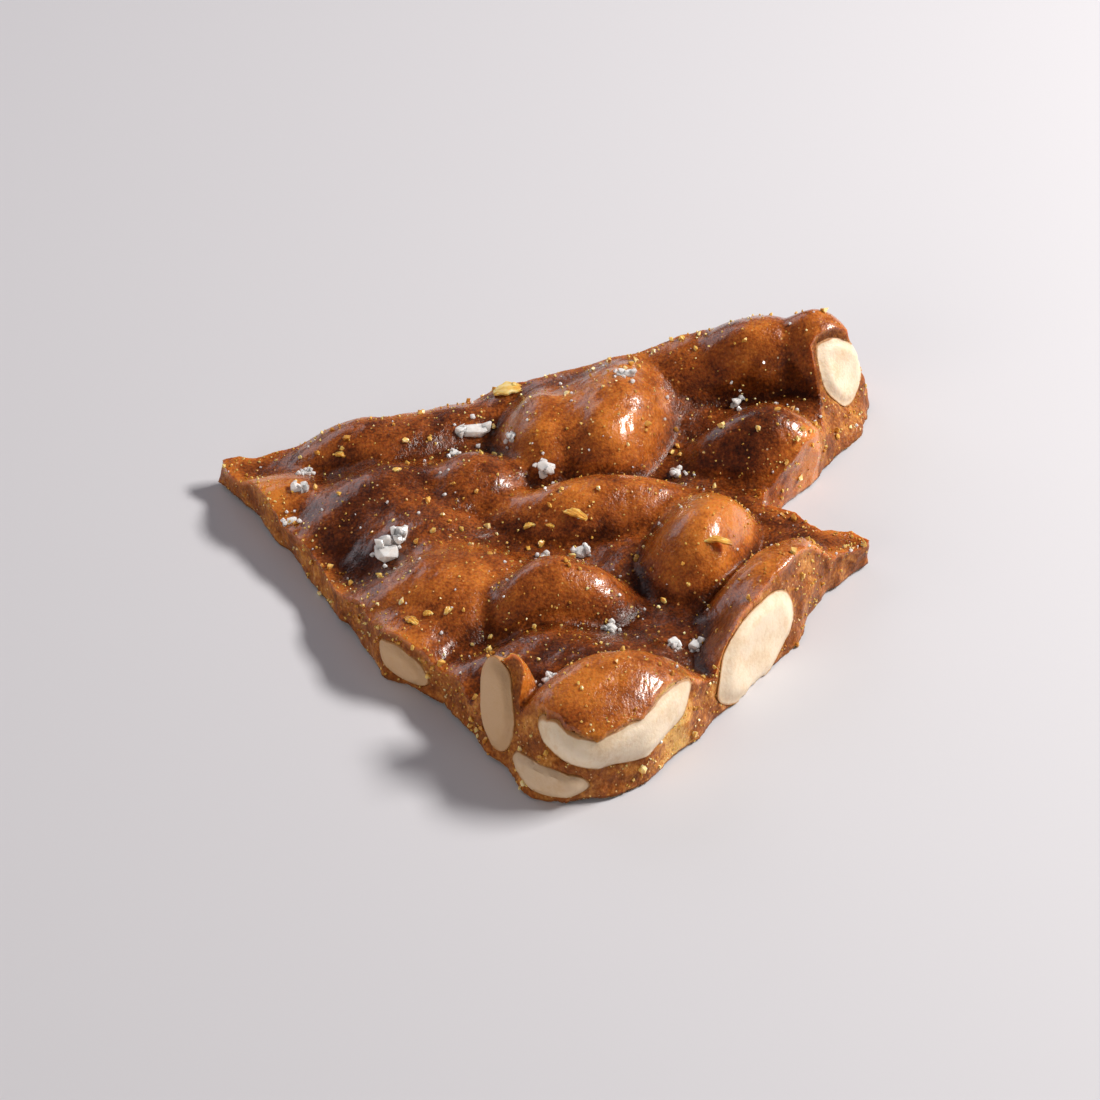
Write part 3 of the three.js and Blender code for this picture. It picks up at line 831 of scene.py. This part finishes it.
# Specks: their spacing in mm, their size as a share of it, and the share of the places
# that have one.
wallLook = {
    "tones": [
        (0.0, (0.110, 0.025, 0.004)),
        (0.4, (0.330, 0.095, 0.016)),
        (0.75, (0.580, 0.230, 0.048)),
        (1.0, (0.840, 0.480, 0.150)),
    ],
    "range": (0.35, 1.1),
    # litGoldenLedge is painted light on the lit ledge, over its golden crumbs.
    "patchSize": 2.2, "patch": 0.75, "grainSize": 0.35, "grain": 0.6, "litGoldenLedge": 0.35,
    "skinDepth": (0.1, 0.7), "creep": 0.5,      # how the skin gives way to the wall
    "roughness": 0.42,
    "speckColour": (0.86, 0.58, 0.27), "specks": (0.6, 0.2, 0.35), "speckShare": 0.7,
}

toffeeLook = {
    "tones": [
        (0.0, (0.040, 0.007, 0.0015)),
        (0.3, (0.135, 0.028, 0.0045)),
        (0.6, (0.350, 0.086, 0.0120)),
        (1.0, (0.660, 0.210, 0.0300)),
    ],
    "patchSize": 4.5, "patch": 1.0, "mottleSize": 1.4, "mottle": 0.6,
    "sugarSize": 0.3, "sugar": 0.9,             # fine sugary grain
    # hollow darkens the skin in dips and creases: painted shade.
    # rim pales the edge along the break: its golden crumbs and painted glow through the thin toffee.
    "hollow": -0.3, "rim": 0.42,
    "speckColour": (0.74, 0.40, 0.12), "specks": (0.8, 0.17, 0.35), "speckShare": 0.75,
    "paleSpeck": (0.80, 0.60, 0.38), "paleSpecks": (1.3, 0.10, 0.25), "paleShare": 0.8,
    "roughness": (0.2, 0.32), "glossSize": 1.4, "glossRange": (0.35, 0.7),
    "wrinkleSize": 0.6, "wrinkleStretch": (1.0, 0.45, 0.6), "wrinkle": 0.7,
    "fineSize": 0.2, "fine": 0.45, "relief": 0.6, "reliefDepth": 0.25,
    "specular": 0.2, "coat": 0.75, "coatRoughness": 0.14, "coatHollow": (0.04, 0.22),
    "coatRelief": 0.35,
    "glow": 0.45, "glowRadius": (1.0, 0.35, 0.1), "glowScale": 1.4,
}

underLook = {
    "dark": (0.090, 0.026, 0.007), "light": (0.260, 0.085, 0.020),
    "patchSize": 5, "range": (0.35, 0.65), "from": (0.3, 0.08),
}


def unevenOf(tree, where, size, detail):       # noise to both sides of nought
    return mathOf(tree, "SUBTRACT", noiseOf(tree, where, size, detail), 0.5)


def skinColour(tree, where, look):
    tone = sumOf(tree, (valueOf(tree, "tone"), 1.0),
                 (unevenOf(tree, where, look["patchSize"], detail=3.0), look["patch"]),
                 (unevenOf(tree, where, look["mottleSize"], detail=4.0), look["mottle"]),
                 (unevenOf(tree, where, look["sugarSize"], detail=2.0), look["sugar"]),
                 # darker in the dips: painted shade
                 (valueOf(tree, "hollow"), look["hollow"]),
                 # paler along the break: crumbly golden edge with painted glow
                 (valueOf(tree, "rim"), look["rim"]))
    colour = rampOf(tree, tone, look["tones"])
    gold = specksOf(tree, where, *look["specks"])
    pale = specksOf(tree, where, *look["paleSpecks"])
    gold = mathOf(tree, "MULTIPLY", gold, look["speckShare"])
    colour = mixOf(tree, gold, colour, look["speckColour"])
    pale = mathOf(tree, "MULTIPLY", pale, look["paleShare"])
    return mixOf(tree, pale, colour, look["paleSpeck"])


def wallColour(tree, where, grain, look):
    patch = noiseOf(tree, where, look["patchSize"], detail=3.0)
    tone = sumOf(tree, (patch, look["patch"]), (grain, look["grain"]),
                 # painted light on the lit ledge, over its golden crumbs
                 (valueOf(tree, "litGoldenLedge"), look["litGoldenLedge"]))
    colour = rampOf(tree, rangeOf(tree, tone, *look["range"]), look["tones"])
    gold = mathOf(tree, "MULTIPLY", specksOf(tree, where, *look["specks"]), look["speckShare"])
    return mixOf(tree, gold, colour, look["speckColour"])


def addRelief(tree, height, strength, depth, socket):
    bump = addNode(tree, "ShaderNodeBump", {
        "Height": height, "Strength": strength, "Distance": depth * mm,
    })
    tree.links.new(bump.outputs["Normal"], socket)


def setGlow(shader, look):
    shader.inputs["Subsurface Weight"].default_value = look["glow"]
    shader.inputs["Subsurface Radius"].default_value = look["glowRadius"]
    shader.inputs["Subsurface Scale"].default_value = look["glowScale"] * mm


def toffeeMaterial():
    material, tree, shader = newMaterial("toffee")
    where = addNode(tree, "ShaderNodeTexCoord").outputs["Object"]
    grain = noiseOf(tree, where, wallLook["grainSize"], detail=3.0)
    skin = skinColour(tree, where, toffeeLook)
    broken = sumOf(tree, (valueOf(tree, "depth"), 1.0),
                   (mathOf(tree, "SUBTRACT", grain, 0.5), wallLook["creep"]))
    broken = rangeOf(tree, broken, *wallLook["skinDepth"])
    colour = mixOf(tree, broken, skin, wallColour(tree, where, grain, wallLook))
    below = rangeOf(tree, valueOf(tree, "lift"), *underLook["from"])
    cloud = noiseOf(tree, where, underLook["patchSize"], detail=4.0)
    cloud = rangeOf(tree, cloud, *underLook["range"])
    underColour = mixOf(tree, cloud, underLook["dark"], underLook["light"])
    colour = mixOf(tree, below, colour, underColour)
    tree.links.new(colour, shader.inputs["Base Color"])
    gloss = noiseOf(tree, where, toffeeLook["glossSize"], detail=4.0)
    gloss = rangeOf(tree, gloss, *toffeeLook["glossRange"], *toffeeLook["roughness"])
    rougher = wallLook["roughness"] - toffeeLook["roughness"][1]
    rough = sumOf(tree, (gloss, 1.0), (broken, rougher))
    tree.links.new(rough, shader.inputs["Roughness"])
    streaks = noiseOf(tree, where, toffeeLook["wrinkleSize"], detail=5.0,
                      stretch=toffeeLook["wrinkleStretch"])
    fine = noiseOf(tree, where, toffeeLook["fineSize"], detail=2.0)
    relief = sumOf(tree, (streaks, toffeeLook["wrinkle"]), (fine, toffeeLook["fine"]))
    depth = toffeeLook["reliefDepth"]
    addRelief(tree, relief, toffeeLook["relief"], depth, shader.inputs["Normal"])
    addRelief(tree, streaks, toffeeLook["coatRelief"], depth, shader.inputs["Coat Normal"])
    coat = rangeOf(tree, valueOf(tree, "hollow"), *toffeeLook["coatHollow"], toffeeLook["coat"], 0.0)
    coat = mathOf(tree, "MULTIPLY", coat, mathOf(tree, "SUBTRACT", 1.0, broken))
    tree.links.new(coat, shader.inputs["Coat Weight"])
    shader.inputs["Coat Roughness"].default_value = toffeeLook["coatRoughness"]
    shader.inputs["Specular IOR Level"].default_value = toffeeLook["specular"]
    setGlow(shader, toffeeLook)
    return material


nutLook = {
    # rim and rimFrom darken the cut face towards its edge: painted shade that makes it look rounded.
    "flesh": (0.870, 0.710, 0.530), "deep": (0.780, 0.580, 0.380), "rim": 0.45,
    # the browner flesh is partly toast and partly painted shade
    "toastedShadedFlesh": (0.600, 0.360, 0.180),
    "skin": (0.420, 0.180, 0.060), "paleSkin": (0.620, 0.330, 0.130), "skinFrom": 0.965,
    "skinEdge": (0.015, 0.05), "rimFrom": 0.8, "ragged": 0.03,
    "cloudSize": 2.4, "cloud": 0.45, "grainSize": 0.3, "grain": 0.2,
    "fibreSize": 0.5, "fibre": 0.35, "fibreStretch": (1.0, 0.25, 0.6), "range": (0.34, 0.56),
    "relief": 0.3, "reliefDepth": 0.15,
    "roughness": 0.5, "glow": 0.25, "glowRadius": (1.0, 0.7, 0.4), "glowScale": 0.9,
}


def nutMaterial(look):
    material, tree, shader = newMaterial("cut_nut")
    where = addNode(tree, "ShaderNodeTexCoord").outputs["Object"]
    cloud = noiseOf(tree, where, look["cloudSize"], detail=4.0)
    grain = noiseOf(tree, where, look["grainSize"], detail=3.0)
    fibre = noiseOf(tree, where, look["fibreSize"], detail=3.0, stretch=look["fibreStretch"])
    share = sumOf(tree, (cloud, look["cloud"]), (grain, look["grain"]), (fibre, look["fibre"]))
    share = rangeOf(tree, share, *look["range"])
    # painted shade: the cut face darkens towards its edge
    rim = rangeOf(tree, valueOf(tree, "radius"), look["rimFrom"], 1.0, 0.0, look["rim"])
    share = mathOf(tree, "SUBTRACT", share, rim)
    colour = mixOf(tree, share, look["deep"], look["flesh"])
    # browner flesh: partly toast, partly painted shade
    colour = mixOf(tree, valueOf(tree, "toastAndShade"), colour, look["toastedShadedFlesh"])
    edge = sumOf(tree, (valueOf(tree, "radius"), 1.0), (cloud, look["ragged"]))
    low, high = look["skinEdge"]
    skin = rangeOf(tree, edge, look["skinFrom"] + low, look["skinFrom"] + high)
    colour = mixOf(tree, skin, colour, mixOf(tree, share, look["skin"], look["paleSkin"]))
    tree.links.new(colour, shader.inputs["Base Color"])
    shader.inputs["Roughness"].default_value = look["roughness"]
    addRelief(tree, grain, look["relief"], look["reliefDepth"], shader.inputs["Normal"])
    setGlow(shader, look)
    return material


saltLook = {
    "clear": (0.920, 0.880, 0.850), "cloudy": (0.800, 0.740, 0.700), "cloudSize": 0.5,
    "range": (0.35, 0.65), "roughness": 0.25,
    "glow": 0.8, "glowRadius": (1.0, 0.93, 0.88), "glowScale": 0.9,
}

goldLook = {
    "tones": [
        (0.0, (0.560, 0.240, 0.040)),
        (0.4, (0.820, 0.440, 0.090)),
        (0.75, (0.920, 0.620, 0.200)),
        (1.0, (0.940, 0.760, 0.420)),
    ],
    "patchSize": 1.6, "range": (0.3, 0.7), "roughness": 0.3,
    "glow": 0.4, "glowRadius": (1.0, 0.6, 0.2), "glowScale": 0.5,
}


def saltMaterial(look):
    material, tree, shader = newMaterial("salt")
    where = addNode(tree, "ShaderNodeTexCoord").outputs["Object"]
    cloud = rangeOf(tree, noiseOf(tree, where, look["cloudSize"], detail=3.0), *look["range"])
    tree.links.new(mixOf(tree, cloud, look["cloudy"], look["clear"]), shader.inputs["Base Color"])
    shader.inputs["Roughness"].default_value = look["roughness"]
    setGlow(shader, look)
    return material


def goldMaterial(look):
    material, tree, shader = newMaterial("golden_crisp")
    where = addNode(tree, "ShaderNodeTexCoord").outputs["Object"]
    tone = rangeOf(tree, noiseOf(tree, where, look["patchSize"], detail=3.0), *look["range"])
    tree.links.new(rampOf(tree, tone, look["tones"]), shader.inputs["Base Color"])
    shader.inputs["Roughness"].default_value = look["roughness"]
    setGlow(shader, look)
    return material


# Edges sharper than this many degrees are shaded as edges.
sharpAngles = {"toffee": 50, "cut_nut": 45, "salt": 20, "golden_crisp": 30}


def finishPiece(piece, material, slotName, node):
    mesh = piece.data
    mesh.transform(Matrix.Scale(mm, 4))
    mesh.materials.clear()
    mesh.materials.append(material)
    mesh.polygons.foreach_set("material_index", np.zeros(len(mesh.polygons), np.int32))
    mesh.shade_smooth()
    mesh.set_sharp_from_angle(angle=math.radians(sharpAngles[slotName]))
    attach(piece, "root")
    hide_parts(node)


finishPiece(toffee, toffeeMaterial(), "toffee", "brittle_slab")
nutFinish = nutMaterial(nutLook)
for piece, nut in zip(nutPieces, cutNuts):
    finishPiece(piece, nutFinish, "cut_nut", nut[0])
finishPiece(salt, saltMaterial(saltLook), "salt", "brittle_slab")
finishPiece(gold, goldMaterial(goldLook), "golden_crisp", "brittle_slab")
print("finishes set")


# Places and sizes in the studio are in metres, and its lens is in millimetres.
studio = {
    "target": (0.0005, -0.0006, 0.004), "distance": 0.48, "elevation": 38, "lens": 160,
    "nearest": 0.01,
    "sky": (0.9, 0.88, 1.0), "skyStrength": 0.1,
    "floor": (0.66, 0.65, 0.68), "floorSize": 3, "floorRoughness": 0.6,
}

# Lamps: name, place, size, power, colour and whether glossy things mirror it.
lamps = [
    ("key", (0.37, 0.12, 0.31), (0.2, 0.08), 3.5, (1, 0.97, 0.93), True),
    ("fill", (-0.38, -0.42, 0.20), (0.5, 0.3), 1.2, (1, 0.94, 0.86), False),
    ("sheen", (-0.48, 0.64, 0.40), (0.7, 0.4), 1.3, (0.96, 0.92, 1), True),
]


def aimAt(item, target):
    away = item.location - Vector(target)
    item.rotation_euler = away.to_track_quat("Z", "Y").to_euler()


cameraData = bpy.data.cameras.new("camera")
cameraData.lens = studio["lens"]
cameraData.clip_start = studio["nearest"]
camera = bpy.data.objects.new("camera", cameraData)
bpy.context.scene.collection.objects.link(camera)
elevation = math.radians(studio["elevation"])
back = Vector((0, -math.cos(elevation), math.sin(elevation)))
camera.location = Vector(studio["target"]) + back * studio["distance"]
aimAt(camera, studio["target"])
bpy.context.scene.camera = camera


def addLight(name, place, size, power, colour, mirrored):
    data = bpy.data.lights.new(name, "AREA")
    data.shape = "RECTANGLE"
    data.size, data.size_y = size
    data.energy = power
    data.color = colour
    light = bpy.data.objects.new(name, data)
    bpy.context.scene.collection.objects.link(light)
    light.location = place
    light.visible_glossy = mirrored
    aimAt(light, studio["target"])


for lamp in lamps:
    addLight(*lamp)

bm = bmesh.new()
bmesh.ops.create_grid(bm, x_segments=1, y_segments=1, size=studio["floorSize"] / 2)
floor = objectFrom(bm, "floor")
floorMaterial, floorTree, floorShader = newMaterial("pale_floor")
floorShader.inputs["Base Color"].default_value = (*studio["floor"], 1)
floorShader.inputs["Roughness"].default_value = studio["floorRoughness"]
floor.data.materials.append(floorMaterial)

world = bpy.data.worlds.new("studio")
world.use_nodes = True
backdrop = world.node_tree.nodes["Background"]
backdrop.inputs["Color"].default_value = (*studio["sky"], 1)
backdrop.inputs["Strength"].default_value = studio["skyStrength"]
bpy.context.scene.world = world
bpy.context.scene.view_settings.view_transform = "Standard"
